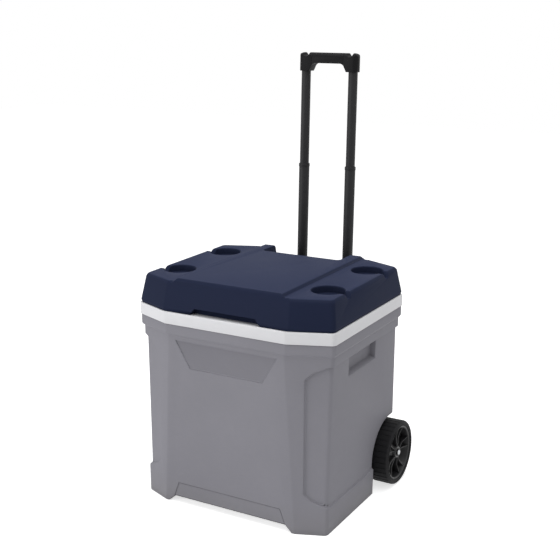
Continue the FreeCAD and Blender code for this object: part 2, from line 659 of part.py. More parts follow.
def pin_hole(x, gap):
    """The hole for a hinge pin."""
    half = HINGE_WIDTH
    return rod(PIN_RADIUS + gap, (x - half, HINGE_Y, HINGE_Z), (x + half, HINGE_Y, HINGE_Z))


def body_leaf(x):
    """The hinge leaf screwed to the rim band, with a barrel at each end."""
    half, inner = HINGE_WIDTH / 2, HINGE_WIDTH / 5
    top = RIM_TOP - SEAT_GAP
    y0, y1 = RIM_HALF_DEPTH, RIM_HALF_DEPTH + LEAF_THICK
    plate = box(x - half, x + half, y0, y1, RIM_TOP - LEAF_HEIGHT, top - LEAF_THICK)
    parts = [plate]
    for x0, x1 in ((-half, -inner), (inner, half)):
        neck = prism_x([(y0, top - LEAF_THICK * 2), (HINGE_Y + KNUCKLE_RADIUS / 2, top - LEAF_THICK * 2),
                        (HINGE_Y + KNUCKLE_RADIUS / 2, HINGE_Z), (HINGE_Y - KNUCKLE_RADIUS / 2, HINGE_Z),
                        (y0, top - LEAF_THICK)], x + x0, x + x1)
        parts += [neck, knuckle(x, x0, x1)]
    leaf = fuse(parts).cut(pin_hole(x, HOLE_GAP / 4))
    return drilled(leaf, hinge_screw_seats(), (0, -1, 0))


def lid_leaf(x):
    """The hinge leaf screwed to the lid's back wall, with the middle barrel."""
    half, inner = HINGE_WIDTH / 2, HINGE_WIDTH / 5 - SEAT_GAP
    foot, up, out = lid_wall_frame()
    low = foot + up * LID_EDGE
    high = low + up * LEAF_HEIGHT
    thick = out * LEAF_THICK
    corners = [low, high, high + thick, low + thick]
    plate = prism_x([(p.y, p.z) for p in corners], x - half, x + half)
    elbow = low + up * (KNUCKLE_RADIUS * 1.5) + thick
    neck = prism_x([((low + thick / 2).y, (low + thick / 2).z), (HINGE_Y - KNUCKLE_RADIUS / 2, HINGE_Z),
                    (HINGE_Y + KNUCKLE_RADIUS / 2, HINGE_Z + KNUCKLE_RADIUS / 2), (elbow.y, elbow.z)],
                   x - inner, x + inner)
    leaf = fuse([plate, neck, knuckle(x, -inner, inner)]).cut(pin_hole(x, RUN_FIT))
    seats, into = lid_screw_seats()
    return drilled(leaf, seats, into)


def hinge_pin(x):
    """A steel pin with a small head at its outer end."""
    half = HINGE_WIDTH / 2
    outward = math.copysign(1.0, x)
    shank = rod(PIN_RADIUS, (x - half, HINGE_Y, HINGE_Z), (x + half, HINGE_Y, HINGE_Z))
    end = x + outward * half
    head = rod(PIN_RADIUS * 1.7, (end, HINGE_Y, HINGE_Z), (end + outward * 1.5, HINGE_Y, HINGE_Z))
    return shank.fuse(head).removeSplitter()


# ---- wheels --------------------------------------------------------------------------------
WHEEL_INNER_X = WHEEL_FACE_X - WHEEL_WIDTH
HUB_INNER_X = WHEEL_INNER_X - 2.0
HUB_OUTER_X = WHEEL_FACE_X - CAP_THICK - SPOKE_SETBACK + 2.0


def wheel_rod(radius, x0, x1):
    """A round bar on the wheel's axis."""
    return rod(radius, (x0, WHEEL_Y, WHEEL_Z), (x1, WHEEL_Y, WHEEL_Z))


def wheel_hub():
    """The right wheel's moulded centre: rim, web, ribs and hub."""
    rim_wall = 4.0
    barrel = wheel_rod(RIM_RADIUS, WHEEL_INNER_X + 2.0, WHEEL_FACE_X - 2.0)
    barrel = barrel.cut(wheel_rod(RIM_RADIUS - rim_wall, WHEEL_INNER_X, WHEEL_FACE_X))
    middle = (WHEEL_INNER_X + WHEEL_FACE_X) / 2
    web = wheel_rod(RIM_RADIUS - rim_wall / 2, middle - WEB_THICK / 2, middle + WEB_THICK / 2)
    hub = wheel_rod(HUB_RADIUS, HUB_INNER_X, HUB_OUTER_X)
    parts = [barrel, web, hub]
    for i in range(SPOKES):
        rib = box(middle, WHEEL_FACE_X - SPOKE_SETBACK, WHEEL_Y - SPOKE_THICK / 2, WHEEL_Y + SPOKE_THICK / 2,
                  WHEEL_Z, WHEEL_Z + RIM_RADIUS - rim_wall / 2)
        rib.rotate(Vector(0, WHEEL_Y, WHEEL_Z), Vector(1, 0, 0), 360.0 * i / SPOKES)
        parts.append(rib)
    bore = wheel_rod(AXLE_RADIUS + BUSH_WALL, WELL_X, BIG)
    return fuse(parts).cut([bore, wheel_rod(HUB_RADIUS, HUB_OUTER_X, BIG)])


def wheel_tyre():
    """The right wheel's tyre, with sloped shoulders."""
    x0, x1 = WHEEL_INNER_X, WHEEL_FACE_X
    outline = [Vector(x0, RIM_RADIUS, 0), Vector(x1, RIM_RADIUS, 0), Vector(x1, WHEEL_RADIUS - TYRE_SHOULDER, 0),
               Vector(x1 - TYRE_SHOULDER, WHEEL_RADIUS, 0), Vector(x0 + TYRE_SHOULDER, WHEEL_RADIUS, 0),
               Vector(x0, WHEEL_RADIUS - TYRE_SHOULDER, 0)]
    face = Part.Face(Part.makePolygon(outline + outline[:1]))
    tyre = face.revolve(Vector(0, 0, 0), Vector(1, 0, 0), 360.0)
    tyre.translate(Vector(0, WHEEL_Y, WHEEL_Z))
    return tyre


def wheel_bush():
    """The nylon bush between hub and axle."""
    return wheel_rod(AXLE_RADIUS + BUSH_WALL, HUB_INNER_X, HUB_OUTER_X).cut(
        wheel_rod(AXLE_RADIUS + RUN_FIT, WELL_X, BIG))


def axle_end(x0, x1, outer):
    """A ring on the axle, for the washers and the push-on caps, on both sides."""
    right = wheel_rod(outer, x0, x1).cut(wheel_rod(AXLE_RADIUS, WELL_X - BIG / 2, WHEEL_FACE_X - 1.0))
    return Part.makeCompound([mirrored(right), right])


def axle_clip(side):
    """A clip screwed up under the body, with a tongue that fills the slot below the axle."""
    x = side * HINGE_X
    half = 22.0
    reach = AXLE_RADIUS + 13.0 + SCREW_HEAD + 3.0
    plate = box(x - half, x + half, WHEEL_Y - reach, WHEEL_Y + reach, REAR_SOLE - TAB_THICK, REAR_SOLE)
    tongue = box(x - half, x + half, WHEEL_Y - AXLE_RADIUS, WHEEL_Y + AXLE_RADIUS, REAR_SOLE - TAB_THICK, WHEEL_Z)
    seat = rod(AXLE_RADIUS, (-BIG, WHEEL_Y, WHEEL_Z), (BIG, WHEEL_Y, WHEEL_Z))
    return drilled(fuse([plate, tongue]).cut(seat), clip_screw_seats(), (0, 0, 1))


# ---- pull handle ---------------------------------------------------------------------------
def tube_rod(side, radius, z0, z1):
    """An upright round bar on the axis of one handle tube."""
    return rod(radius, (side * TUBE_X, TUBE_Y, z0), (side * TUBE_X, TUBE_Y, z1))


def handle_housing():
    """The channel on the back that the handle slides down into."""
    half = HOUSING_HALF_WIDTH
    back = TUBE_Y + COLLAR_RADIUS + HOLE_GAP + HOUSING_WALL
    front = WALL_HALF_DEPTH - SHELL_WALL
    outline = [(front, HOUSING_BOTTOM), (back - HOUSING_CHAMFER, HOUSING_BOTTOM),
               (back, HOUSING_BOTTOM + HOUSING_CHAMFER), (back, HOUSING_TOP), (front, HOUSING_TOP)]
    wall = HOUSING_WALL
    inner = [(front - BIG, HOUSING_BOTTOM + wall), (back - HOUSING_CHAMFER - wall / 2, HOUSING_BOTTOM + wall),
             (back - wall, HOUSING_BOTTOM + HOUSING_CHAMFER + wall / 2), (back - wall, HOUSING_TOP - wall),
             (front - BIG, HOUSING_TOP - wall)]
    channel = leaned(prism_x(outline, -half, half).cut(prism_x(inner, -half + wall, half - wall)))
    reach = half + HOUSING_TAB
    tabs = body_stack(TAB_THICK).common(box(-reach, reach, 0.0, BIG, HOUSING_BOTTOM + 20.0, WALL_TOP - 15.0))
    tabs = tabs.cut(box(-half + wall, half - wall, 0.0, BIG, 0.0, BIG))
    pipes = [leaned(tube_rod(side, COLLAR_RADIUS + HOLE_GAP, HOUSING_TOP - wall * 2, HOUSING_TOP + wall))
             for side in (-1, 1)]
    housing = fuse([channel, tabs]).cut([body_stack(), rim_band()] + pipes)
    return drilled(housing, housing_screw_seats(), (0, -1, 0))


def guide_collar(side):
    """The plastic guide that lines the mouth of the housing round one tube."""
    inner = LOWER_TUBE_RADIUS + SLIDE_GAP
    sleeve = tube_rod(side, COLLAR_RADIUS, HOUSING_TOP - COLLAR_DEPTH, HOUSING_TOP)
    flange = tube_rod(side, COLLAR_RADIUS + COLLAR_LIP, HOUSING_TOP, COLLAR_TOP)
    hole = tube_rod(side, inner, 0.0, BIG * 2)
    return leaned(fuse([sleeve, flange]).cut(hole))


def lower_tube_wall_radius():
    """The inside radius of the lower tubes."""
    return LOWER_TUBE_RADIUS - TUBE_WALL


def stage_collar(side):
    """The collar on top of a lower tube, that guides the upper one."""
    hole = tube_rod(side, UPPER_TUBE_RADIUS + SLIDE_GAP, 0.0, BIG * 2)
    outer = LOWER_TUBE_RADIUS + STAGE_COLLAR_WALL
    cap = tube_rod(side, outer, STAGE_COLLAR_BOTTOM, STAGE_TOP + STAGE_COLLAR_WALL)
    cap = cap.makeChamfer(STAGE_COLLAR_WALL, [edge for edge in cap.Edges if edge.BoundBox.ZMin > STAGE_TOP])
    inside = tube_rod(side, LOWER_TUBE_RADIUS, STAGE_COLLAR_BOTTOM - 1.0, STAGE_TOP)
    return leaned(cap.cut(fuse([inside, hole])))


def yoke():
    """The cross-piece that ties the feet of the two lower tubes together, inside the housing."""
    half = TUBE_X + LOWER_TUBE_RADIUS + 3.0
    depth = LOWER_TUBE_RADIUS - 0.2
    bottom = YOKE_BOTTOM
    bar = box(-half, half, TUBE_Y - depth, TUBE_Y + depth, bottom, LOWER_TUBE_BOTTOM)
    parts = [bar]
    for side in (-1, 1):
        parts.append(tube_rod(side, lower_tube_wall_radius(), bottom, LOWER_TUBE_BOTTOM + YOKE_HEIGHT))
    holes = [tube_rod(side, lower_tube_wall_radius() - YOKE_SOCKET, 0.0, BIG) for side in (-1, 1)]
    return leaned(fuse(parts).cut(holes + yoke_screw_holes()))


def yoke_screw_seats():
    """Head points of the screws that pin each lower tube to the yoke, before the lean."""
    z = LOWER_TUBE_BOTTOM + YOKE_HEIGHT / 2
    return [(side * (TUBE_X - LOWER_TUBE_RADIUS), TUBE_Y, z) for side in (-1, 1)]


def yoke_screw_holes():
    """The holes for those screws, through tube and yoke."""
    return [screw_hole(seat, (sign, 0, 0), YOKE_SCREW) for seat, sign in zip(yoke_screw_seats(), (-1, 1))]


def tube_plug(side):
    """The sliding plug in the foot of an upper tube."""
    outer = lower_tube_wall_radius() - SLIDE_GAP
    inner = UPPER_TUBE_RADIUS - TUBE_WALL
    skirt = tube_rod(side, outer, UPPER_TUBE_BOTTOM - 8.0, UPPER_TUBE_BOTTOM)
    core = tube_rod(side, inner, UPPER_TUBE_BOTTOM - 8.0, UPPER_TUBE_BOTTOM + 16.0)
    hole = tube_rod(side, inner - 3.0, 0.0, BIG * 2)
    return leaned(fuse([skirt, core]).cut(hole))


def grip_outline():
    """The outline of the whole grip seen from the front, with its arcs."""
    w, z0, z1 = GRIP_HALF_WIDTH, GRIP_BOTTOM, GRIP_TOP
    inner_x = w - BRACKET_WIDTH
    bar_z = z1 - GRIP_BAR
    radius = GRIP_ROUND
    lean_in = 1.5
    right = [(w - lean_in, z0), (w, z1)]
    left = [(-x, z) for x, z in reversed(right)]
    flared_x = inner_x - GRIP_FLARE
    under = [(-inner_x, z0), (-flared_x, bar_z), (flared_x, bar_z), (inner_x, z0)]
    return right + left + under, radius


def whole_grip():
    """The grip before it is parted into brackets and hand bar, rounded in all three views."""
    points, radius = grip_outline()
    y0, y1 = TUBE_Y - GRIP_DEPTH / 2, TUBE_Y + GRIP_DEPTH / 2
    count = len(points)
    corners = [Vector(x, y0, z) for x, z in points]
    edges, starts, ends, middles = [], [], [], []
    for i in range(count):
        corner = corners[i]
        back = (corners[i - 1] - corner).normalize()
        ahead = (corners[(i + 1) % count] - corner).normalize()
        half_angle = back.getAngle(ahead) / 2
        size = radius if abs(corner.z - GRIP_BOTTOM) > 1.0 else 3.0
        reach = size / math.tan(half_angle)
        starts.append(corner + back * reach)
        ends.append(corner + ahead * reach)
        middles.append(corner + (back + ahead).normalize() * (size / math.sin(half_angle) - size))
    for i in range(count):
        edges.append(Part.Arc(starts[i], middles[i], ends[i]).toShape())
        edges.append(Part.LineSegment(ends[i], starts[(i + 1) % count]).toShape())
    front_view = Part.Face(Part.Wire(edges)).extrude(Vector(0, GRIP_DEPTH, 0))
    half = GRIP_HALF_WIDTH
    plan = [Vector(x, y, 0) for x, y in ((-half, y0), (half, y0), (half, y1), (-half, y1))]
    top_view = Part.Face(rounded_wire(plan, GRIP_PLAN_ROUND)).extrude(Vector(0, 0, BIG * 2))
    top, foot = GRIP_TOP, GRIP_BOTTOM - GRIP_HEIGHT
    side = [Vector(-BIG, y, z) for y, z in ((y0, foot), (y1, foot), (y1, top), (y0, top))]
    side_view = Part.Face(rounded_wire(side, GRIP_CROWN)).extrude(Vector(BIG * 2, 0, 0))
    return front_view.common(top_view).common(side_view)


def grip_bracket(side):
    """One end of the grip, with the socket for its tube and a groove beside the hand bar."""
    region = box(SEAM_X, BIG, -BIG, BIG, 0.0, BIG * 2)
    piece = whole_grip().common(region if side > 0 else mirrored(region))
    socket = tube_rod(side, UPPER_TUBE_RADIUS, 0.0, GRIP_TOP - TUBE_HEAD)
    groove_x = side * (TUBE_X - 5.0)
    groove_z = GRIP_TOP - GRIP_GROOVE_DEPTH + GRIP_GROOVE
    groove = rod(GRIP_GROOVE, (groove_x, -BIG, groove_z), (groove_x, BIG, groove_z)).fuse(
        box(groove_x - GRIP_GROOVE, groove_x + GRIP_GROOVE, -BIG, BIG, groove_z, BIG * 2))
    seats = bracket_screw_seats()
    holes = [screw_hole(seat, (0, -1, 0), BRACKET_SCREW) for seat in seats] + [head_hole(seat) for seat in seats]
    return leaned(piece.cut([socket, groove] + holes))


def bracket_screw_seats():
    """Head points of the screws through the back of each bracket into its tube, before the lean."""
    z = (GRIP_BOTTOM + GRIP_TOP) / 2
    return [(side * TUBE_X, TUBE_Y + GRIP_DEPTH / 2 - COUNTERBORE, z) for side in (-1, 1)]


def bar_screw_seats():
    """Head points of the screws that close the hand bar, before the lean."""
    z = GRIP_TOP - GRIP_BAR / 2
    spread = SEAM_X * 2 / 3
    return [(x, TUBE_Y + GRIP_DEPTH / 2 - COUNTERBORE, z) for x in (-spread, 0.0, spread)]


def grip_half(front):
    """The front or the back half of the hand bar."""
    y0, y1 = (-BIG, TUBE_Y) if front else (TUBE_Y, BIG)
    piece = whole_grip().common(box(-SEAM_X, SEAM_X, y0, y1, 0.0, BIG * 2))
    bar_middle = GRIP_TOP - GRIP_BAR / 2
    hollow_half = GRIP_BAR / 2 - 4.0
    hollow_reach = GRIP_DEPTH / 2 - 4.0
    hollow = box(-SEAM_X + 4.0, SEAM_X - 4.0, TUBE_Y - hollow_reach, TUBE_Y + hollow_reach,
                 bar_middle - hollow_half, bar_middle + hollow_half)
    post = SCREW_HEAD + SEAT_GAP + 1.5
    seats = bar_screw_seats()
    posts = [rod(post, (x, TUBE_Y - GRIP_DEPTH / 2 + 1.0, z), (x, TUBE_Y + GRIP_DEPTH / 2 - 1.0, z))
             for x, y, z in seats]
    holes = [screw_hole(seat, (0, -1, 0), BAR_SCREW) for seat in seats] + [head_hole(seat) for seat in seats]
    return leaned(piece.cut(hollow.cut(posts)).cut(holes))


def upper_tube(side):
    """An upper tube, with the hole for its bracket screw."""
    plain = tube_rod(side, UPPER_TUBE_RADIUS, UPPER_TUBE_BOTTOM, GRIP_TOP - TUBE_HEAD)
    plain = plain.cut(tube_rod(side, UPPER_TUBE_RADIUS - TUBE_WALL, UPPER_TUBE_BOTTOM, GRIP_TOP - TUBE_HEAD))
    return leaned(drilled(plain, bracket_screw_seats(), (0, -1, 0), BRACKET_SCREW))


def lower_tube(side):
    """A lower tube, with the hole for its yoke screw."""
    plain = tube_rod(side, LOWER_TUBE_RADIUS, LOWER_TUBE_BOTTOM, STAGE_TOP)
    plain = plain.cut(tube_rod(side, lower_tube_wall_radius(), LOWER_TUBE_BOTTOM, STAGE_TOP))
    return leaned(plain.cut(yoke_screw_holes()))


# ---- drain ---------------------------------------------------------------------------------
def drain_rod(radius, x0, x1):
    """A round bar on the axis of the drain, x0 to x1 outwards on the left side."""
    return rod(radius, (-x0, DRAIN_Y, DRAIN_Z), (-x1, DRAIN_Y, DRAIN_Z))


DRAIN_SEAL = 1.5
SPOUT_END = DRAIN_FACE + DRAIN_SEAL + 3.0 + 9.0


def drain_fitting():
    """The flanged pipe through the wall, with the spout that the cap screws on."""
    pipe = drain_rod(DRAIN_PIPE, DRAIN_INSIDE - 8.0, SPOUT_END)
    flange = drain_rod(DRAIN_FLANGE, DRAIN_FACE + DRAIN_SEAL, DRAIN_FACE + DRAIN_SEAL + 3.0)
    return fuse([pipe, flange]).cut(drain_rod(DRAIN_BORE, 0.0, BIG))


def drain_cap():
    """The screw cap over the spout, with a grip bar across it."""
    x0 = DRAIN_FACE + DRAIN_SEAL + 3.0 + SEAT_GAP
    x1 = x0 + DRAIN_CAP_LENGTH
    cup = drain_rod(DRAIN_CAP_RADIUS, x0, x1).cut(drain_rod(DRAIN_PIPE + SEAT_GAP, x0 - 1.0, SPOUT_END + 2.0))
    bar = box(-x1 - 5.0, -x1, DRAIN_Y - DRAIN_CAP_RADIUS + 1.0, DRAIN_Y + DRAIN_CAP_RADIUS - 1.0,
              DRAIN_Z - 2.5, DRAIN_Z + 2.5)
    return fuse([cup, bar])


def drain_cap_seal():
    """The rubber disc inside the cap."""
    return drain_rod(DRAIN_PIPE, SPOUT_END + SEAT_GAP, SPOUT_END + 2.0)


def both_sides(piece):
    """A left and a right copy as one node."""
    return Part.makeCompound([piece(-1), piece(1)])


def screws(seats, direction, length=SCREW_LENGTH):
    """A group of screws as one node."""
    return Part.makeCompound([screw(seat, direction, length) for seat in seats])


def parts_list():
    """Every node of the object, by name."""
    lid_seats, into_lid = lid_screw_seats()
    hub, tyre, bush = wheel_hub(), wheel_tyre(), wheel_bush()
    yoke_screws = [screw(seat, (sign, 0, 0), YOKE_SCREW) for seat, sign in zip(yoke_screw_seats(), (-1, 1))]
    grip_screws = [screw(seat, (0, -1, 0), BRACKET_SCREW) for seat in bracket_screw_seats()]
    grip_screws += [screw(seat, (0, -1, 0), BAR_SCREW) for seat in bar_screw_seats()]
    wall_seat = DRAIN_INSIDE - 1.0
    return {
        "outer_shell": outer_shell(),
        "foam_core": foam_core(),
        "inner_liner": inner_liner(),
        "handle_housing": handle_housing(),
        "housing_screws": screws(housing_screw_seats(), (0, -1, 0)),
        "guide_collars": both_sides(guide_collar),
        "axle": wheel_rod(AXLE_RADIUS, -WHEEL_FACE_X + 1.0, WHEEL_FACE_X - 1.0),
        "axle_clips": both_sides(axle_clip),
        "axle_clip_screws": screws(clip_screw_seats(), (0, 0, 1)),
        "wheel_washers": axle_end(WELL_X + SEAT_GAP, HUB_INNER_X - SEAT_GAP, CAP_RADIUS + 2.0),
        "axle_caps": axle_end(HUB_OUTER_X + SEAT_GAP, HUB_OUTER_X + SEAT_GAP + CAP_THICK, CAP_RADIUS),
        "hinge_body_leaves": Part.makeCompound([body_leaf(-HINGE_X), body_leaf(HINGE_X)]),
        "hinge_body_screws": screws(hinge_screw_seats(), (0, -1, 0)),
        "hinge_pins": Part.makeCompound([hinge_pin(-HINGE_X), hinge_pin(HINGE_X)]),
        "drain_fitting": drain_fitting(),
        "drain_seal": drain_rod(DRAIN_FLANGE - 1.0, DRAIN_FACE, DRAIN_FACE + DRAIN_SEAL).cut(
            drain_rod(DRAIN_PIPE, 0.0, BIG)),
        "drain_nut": drain_rod(DRAIN_PIPE + 6.0, wall_seat - 6.0, wall_seat).cut(drain_rod(DRAIN_PIPE, 0.0, BIG)),
        "lid_shell": lid_shell(),
        "lid_foam": lid_foam(),
        "lid_liner": lid_liner(),
        "hinge_lid_leaves": Part.makeCompound([lid_leaf(-HINGE_X), lid_leaf(HINGE_X)]),
        "hinge_lid_screws": screws(lid_seats, into_lid),
        "lower_tube_left": lower_tube(-1),
        "lower_tube_right": lower_tube(1),
        "stage_collars": both_sides(stage_collar),
        "lower_yoke": yoke(),
        "yoke_screws": leaned(Part.makeCompound(yoke_screws)),
        "upper_tube_left": upper_tube(-1),
        "upper_tube_right": upper_tube(1),
        "upper_tube_plugs": both_sides(tube_plug),
        "grip_bracket_left": grip_bracket(-1),
        "grip_bracket_right": grip_bracket(1),
        "grip_front": grip_half(True),
        "grip_back": grip_half(False),
        "grip_screws": leaned(Part.makeCompound(grip_screws)),
        "wheel_right_hub": hub,
        "wheel_right_tyre": tyre,
        "wheel_right_bush": bush,
        "wheel_left_hub": mirrored(hub),
        "wheel_left_tyre": mirrored(tyre),
        "wheel_left_bush": mirrored(bush),
        "drain_cap": drain_cap(),
        "drain_cap_seal": drain_cap_seal(),
    }


os.makedirs("parts", exist_ok=True)
nodes = parts_list()
extent = Part.makeCompound([nodes["inner_liner"], nodes["grip_bracket_right"]]).optimalBoundingBox(False, False)
MIDDLE_Y = (extent.YMin + extent.YMax) / 2
for name, shape in nodes.items():
    shape.translate(Vector(0, -MIDDLE_Y, 0))
    shape.exportStep("parts/" + name + ".step")
    print(name, len(shape.Solids), "solids", round(shape.Volume / 1000.0, 1), "cm3", shape.isValid())
print("middle", MIDDLE_Y, "hinge", HINGE_Y - MIDDLE_Y, HINGE_Z, "wheel", WHEEL_Y - MIDDLE_Y, WHEEL_Z)
print("travel", LOWER_TRAVEL, UPPER_TRAVEL, "drain", DRAIN_Y - MIDDLE_Y, DRAIN_Z)
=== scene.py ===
import bpy
import math
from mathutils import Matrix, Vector


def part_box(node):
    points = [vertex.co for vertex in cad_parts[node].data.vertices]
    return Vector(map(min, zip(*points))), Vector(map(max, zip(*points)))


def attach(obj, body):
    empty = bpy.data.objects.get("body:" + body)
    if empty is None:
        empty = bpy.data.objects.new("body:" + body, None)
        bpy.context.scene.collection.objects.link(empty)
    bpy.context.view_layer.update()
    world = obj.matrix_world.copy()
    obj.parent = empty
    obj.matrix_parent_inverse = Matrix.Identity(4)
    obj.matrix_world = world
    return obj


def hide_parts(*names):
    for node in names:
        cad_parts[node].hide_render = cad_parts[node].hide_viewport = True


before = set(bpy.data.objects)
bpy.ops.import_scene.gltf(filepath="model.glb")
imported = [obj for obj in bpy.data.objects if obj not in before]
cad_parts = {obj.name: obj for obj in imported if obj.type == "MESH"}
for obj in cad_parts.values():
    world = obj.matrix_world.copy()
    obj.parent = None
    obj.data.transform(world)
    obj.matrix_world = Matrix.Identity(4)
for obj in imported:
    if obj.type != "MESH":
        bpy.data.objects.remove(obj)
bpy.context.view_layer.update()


# ---- studio -------------------------------------------------------------------------------
# A pale floor in a white room, with one wide soft lamp above and two smaller ones at the
# sides. The camera stands in front of the cooler's right corner, above the lid.
def linear(colour):
    """A colour written as six hex digits, as the shader wants it."""
    channels = [int(colour[i:i + 2], 16) / 255 for i in (0, 2, 4)]
    return [c / 12.92 if c <= 0.04045 else ((c + 0.055) / 1.055) ** 2.4 for c in channels] + [1.0]


def shader_node(tree, kind, settings=None, **sockets):
    """One shader node. Each socket gets a value, or a link where an output is given."""
    node = tree.nodes.new(kind)
    for name, value in (settings or {}).items():
        setattr(node, name, value)
    for name, value in sockets.items():
        key = int(name[1:]) if name[1:].isdigit() else name.replace("_", " ")
        if isinstance(value, bpy.types.NodeSocket):
            tree.links.new(value, node.inputs[key])
        else:
            node.inputs[key].default_value = value
    return node


def maths(tree, operation, first, second):
    """One value worked out from two."""
    return shader_node(tree, "ShaderNodeMath", {"operation": operation}, _0=first, _1=second).outputs[0]


def direct_rays(tree):
    """One for the rays that show the room itself, or a reflection of it, and nought for its light."""
    rays = shader_node(tree, "ShaderNodeLightPath")
    shown = maths(tree, "MAXIMUM", rays.outputs["Is Camera Ray"], rays.outputs["Is Transmission Ray"])
    return maths(tree, "MAXIMUM", shown, rays.outputs["Is Glossy Ray"])


def new_material(name):
    """An empty material, with the place on the object in metres."""
    material = bpy.data.materials.new(name)
    material.use_nodes = True
    material.node_tree.nodes.clear()
    place = shader_node(material.node_tree, "ShaderNodeTexCoord").outputs["Object"]
    return material, material.node_tree, place


bpy.ops.object.select_all(action="DESELECT")
bpy.ops.object.camera_add(location=(1.1683, -2.0580, 1.1206),
                          rotation=(math.radians(75.15), math.radians(0.12), math.radians(29.61)))
camera = bpy.context.object
camera.data.lens = 67.8
camera.data.sensor_width = 36
bpy.context.scene.camera = camera
bpy.context.scene.view_settings.view_transform = "Standard"

bpy.ops.mesh.primitive_plane_add(size=14)
floor = bpy.context.object
floor.name = "floor"
paper, tree, place = new_material("white_paper")
shown = direct_rays(tree)
matt = shader_node(tree, "ShaderNodeBsdfDiffuse", Color=linear("f2f2f2"))
glow = shader_node(tree, "ShaderNodeEmission", Color=(1, 1, 1, 1), Strength=0.66)
bright = shader_node(tree, "ShaderNodeAddShader", _0=matt.outputs[0], _1=glow.outputs[0])
seen = shader_node(tree, "ShaderNodeMixShader", _0=shown, _1=matt.outputs[0], _2=bright.outputs[0])
shader_node(tree, "ShaderNodeOutputMaterial", Surface=seen.outputs[0])
floor.data.materials.append(paper)

room = bpy.data.worlds.new("white_room")
bpy.context.scene.world = room
room.use_nodes = True
tree = room.node_tree
tree.nodes.clear()
shown = direct_rays(tree)
soft = shader_node(tree, "ShaderNodeBackground", Color=(1, 1, 1, 1), Strength=0.42)
white = shader_node(tree, "ShaderNodeBackground", Color=(1, 1, 1, 1), Strength=1.0)
seen = shader_node(tree, "ShaderNodeMixShader", _0=shown, _1=soft.outputs[0], _2=white.outputs[0])
shader_node(tree, "ShaderNodeOutputWorld", Surface=seen.outputs[0])

for name, place, size, power in (("lamp_above", (0.2, -0.3, 3.0), 2.4, 52),
                                 ("lamp_left", (-2.2, -3.1, 1.1), 1.6, 44),
                                 ("lamp_right", (3.0, -0.2, 1.3), 0.7, 4)):
    bpy.ops.object.light_add(type="AREA", location=place)
    lamp = bpy.context.object
    lamp.name = name
    lamp.data.size = size
    lamp.data.energy = power
    lamp.rotation_euler = (Vector((0, 0, 0.35)) - lamp.location).to_track_quat("-Z", "Y").to_euler()


# ---- outer shell --------------------------------------------------------------------------
# One deep moulding of grey polyethylene with a fine matt grain: flange, sunk side panels
# with finger pockets, blank front panel, wheel wells and foot rails. Its edges are eased.
def noise(tree, place, scale, detail):
    """Soft noise from nought to one."""
    return shader_node(tree, "ShaderNodeTexNoise", Vector=place, Scale=scale, Detail=detail).outputs[0]


def mixed(tree, share, first, second):
    """A colour that goes from the first to the second as the share grows."""
    return shader_node(tree, "ShaderNodeMix", {"data_type": "RGBA"}, _0=share, _6=first, _7=second).outputs[2]


def ranged(tree, value, taken, given):
    """A value carried from one range to another, and held within it."""
    return shader_node(tree, "ShaderNodeMapRange", Value=value, From_Min=taken[0], From_Max=taken[1],
                       To_Min=given[0], To_Max=given[1]).outputs[0]


def bumped(tree, height, strength, distance, **under):
    """The normal of a surface with a fine relief."""
    return shader_node(tree, "ShaderNodeBump", Height=height, Strength=strength, Distance=distance,
                       **under).outputs[0]


def surfaced(tree, tone, rough, normal, **more):
    """Ends a material with its shader."""
    shader = shader_node(tree, "ShaderNodeBsdfPrincipled", Base_Color=tone, Roughness=rough, Normal=normal,
                         **more)
    shader_node(tree, "ShaderNodeOutputMaterial", Surface=shader.outputs[0])


def moulded_plastic(name, colour, rough, sheen=0.3, grain=0.9, scuff=0.5, dust=0.0):
    """Moulded plastic: a grain in millimetres, slow changes of tone, fine scratches, edges lighter
    as rubbed wear and painted highlight, painted shade in the corners and recesses, and dust low down."""
    material, tree, place = new_material(name)
    base = linear(colour)
    recess_shade_depth = 0.25

    def tinted(share):
        return [min(1.0, c * share) for c in base[:3]] + [1.0]

    slow = noise(tree, place, 8.0, 3.0)
    mottle = noise(tree, place, 75.0, 4.0)
    fine = noise(tree, place, 1000 / grain, 2.0)
    tone = mixed(tree, slow, tinted(0.93), tinted(1.07))
    flecks = ranged(tree, mottle, (0.3, 0.7), (0.0, 0.35))
    tone = mixed(tree, flecks, tone, tinted(0.96))
    stretched = shader_node(tree, "ShaderNodeMapping", Vector=place, Rotation=(0.3, 0.5, 0.9),
                            Scale=(45, 45, 900))
    lines = noise(tree, stretched.outputs[0], 1.0, 2.0)
    scratch = ranged(tree, lines, (0.66, 0.72), (0.0, scuff))
    tone = mixed(tree, scratch, tone, tinted(1.1))
    # Edges lighter: partly rubbed wear, partly a painted highlight where edges catch the light.
    round_edge = shader_node(tree, "ShaderNodeBevel", {"samples": 4}, Radius=0.0022)
    face = shader_node(tree, "ShaderNodeNewGeometry")
    turn = shader_node(tree, "ShaderNodeVectorMath", {"operation": "DOT_PRODUCT"}, _0=round_edge.outputs[0],
                       _1=face.outputs["Normal"])
    edge_wear_and_highlight = ranged(tree, turn.outputs["Value"], (0.99, 0.9), (0.0, 0.5))
    tone = mixed(tree, maths(tree, "MULTIPLY", edge_wear_and_highlight, mottle), tone, tinted(1.35))
    # Painted shade: darker in corners, creases and recesses, where shade falls.
    hidden = shader_node(tree, "ShaderNodeAmbientOcclusion", {"samples": 6}, Distance=0.022)
    painted_recess_shade = ranged(tree, hidden.outputs["AO"], (0.85, 0.35), (0.0, recess_shade_depth))
    tone = mixed(tree, painted_recess_shade, tone, tinted(0.25))
    if dust:
        height = shader_node(tree, "ShaderNodeSeparateXYZ", Vector=place)
        low_down = ranged(tree, height.outputs["Z"], (0.07, 0.0), (0.0, dust))
        tone = mixed(tree, maths(tree, "MULTIPLY", low_down, mottle), tone, linear("8d8a84"))
    gloss = ranged(tree, slow, (0.0, 1.0), (rough - 0.06, rough + 0.06))
    bump = bumped(tree, fine, 0.16, 0.0004)
    wave = bumped(tree, slow, 0.10, 0.004, Normal=bump)
    surfaced(tree, tone, gloss, wave, Specular_IOR_Level=sheen)
    return material


